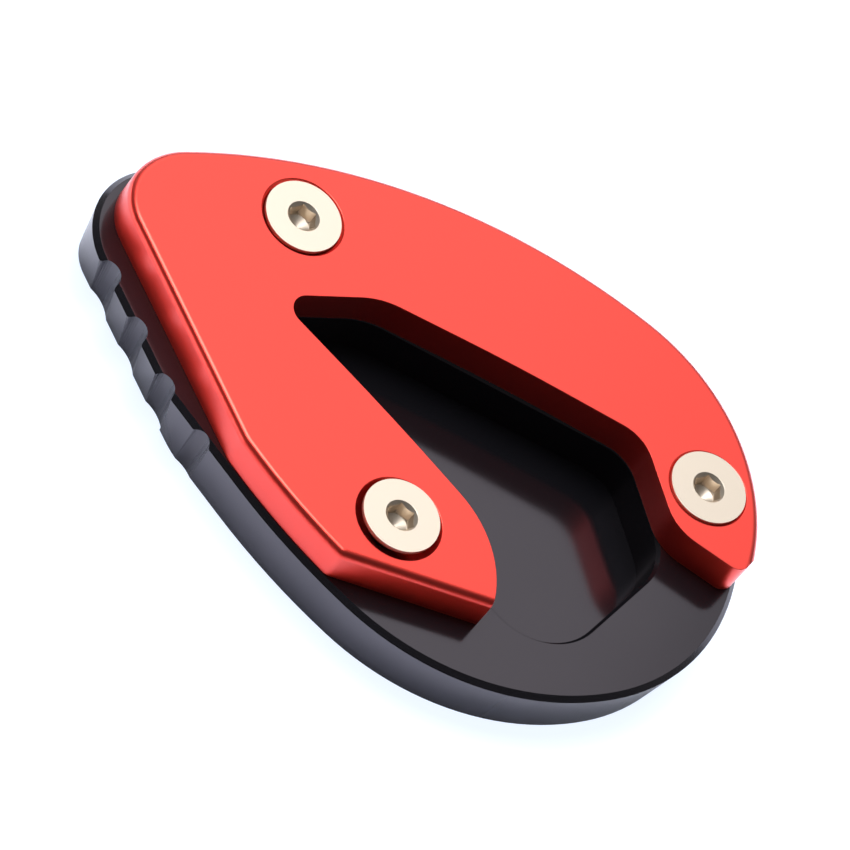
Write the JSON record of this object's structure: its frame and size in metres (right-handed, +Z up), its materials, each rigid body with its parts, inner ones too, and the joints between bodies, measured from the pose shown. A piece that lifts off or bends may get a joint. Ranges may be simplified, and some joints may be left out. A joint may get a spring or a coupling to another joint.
{
  "type": "kickstand foot enlarger",
  "caption": "Widened ground plate for a motorcycle side stand: a base plate with a foot pocket, closed by a bolted clamp plate with two arms.",
  "frame": {"origin": "centre of the bounding box's bottom face, on the ground face of the base plate", "axes": "+X along the length from the pointed end to the broad end, +Y towards the long rear edge, +Z up from the ground face to the clamp plate"},
  "size_m": [0.109, 0.0738, 0.017],
  "materials": {
    "base_plate": "black anodised, satin",
    "clamp_plate": "red anodised, satin",
    "screw": "nickel plated"
  },
  "bodies": {
    "root": {"base_plate": "base_plate", "clamp_plate": "clamp_plate", "screw_tip": "screw", "screw_lower_arm": "screw", "screw_upper_arm": "screw"}
  },
  "joints": []
}
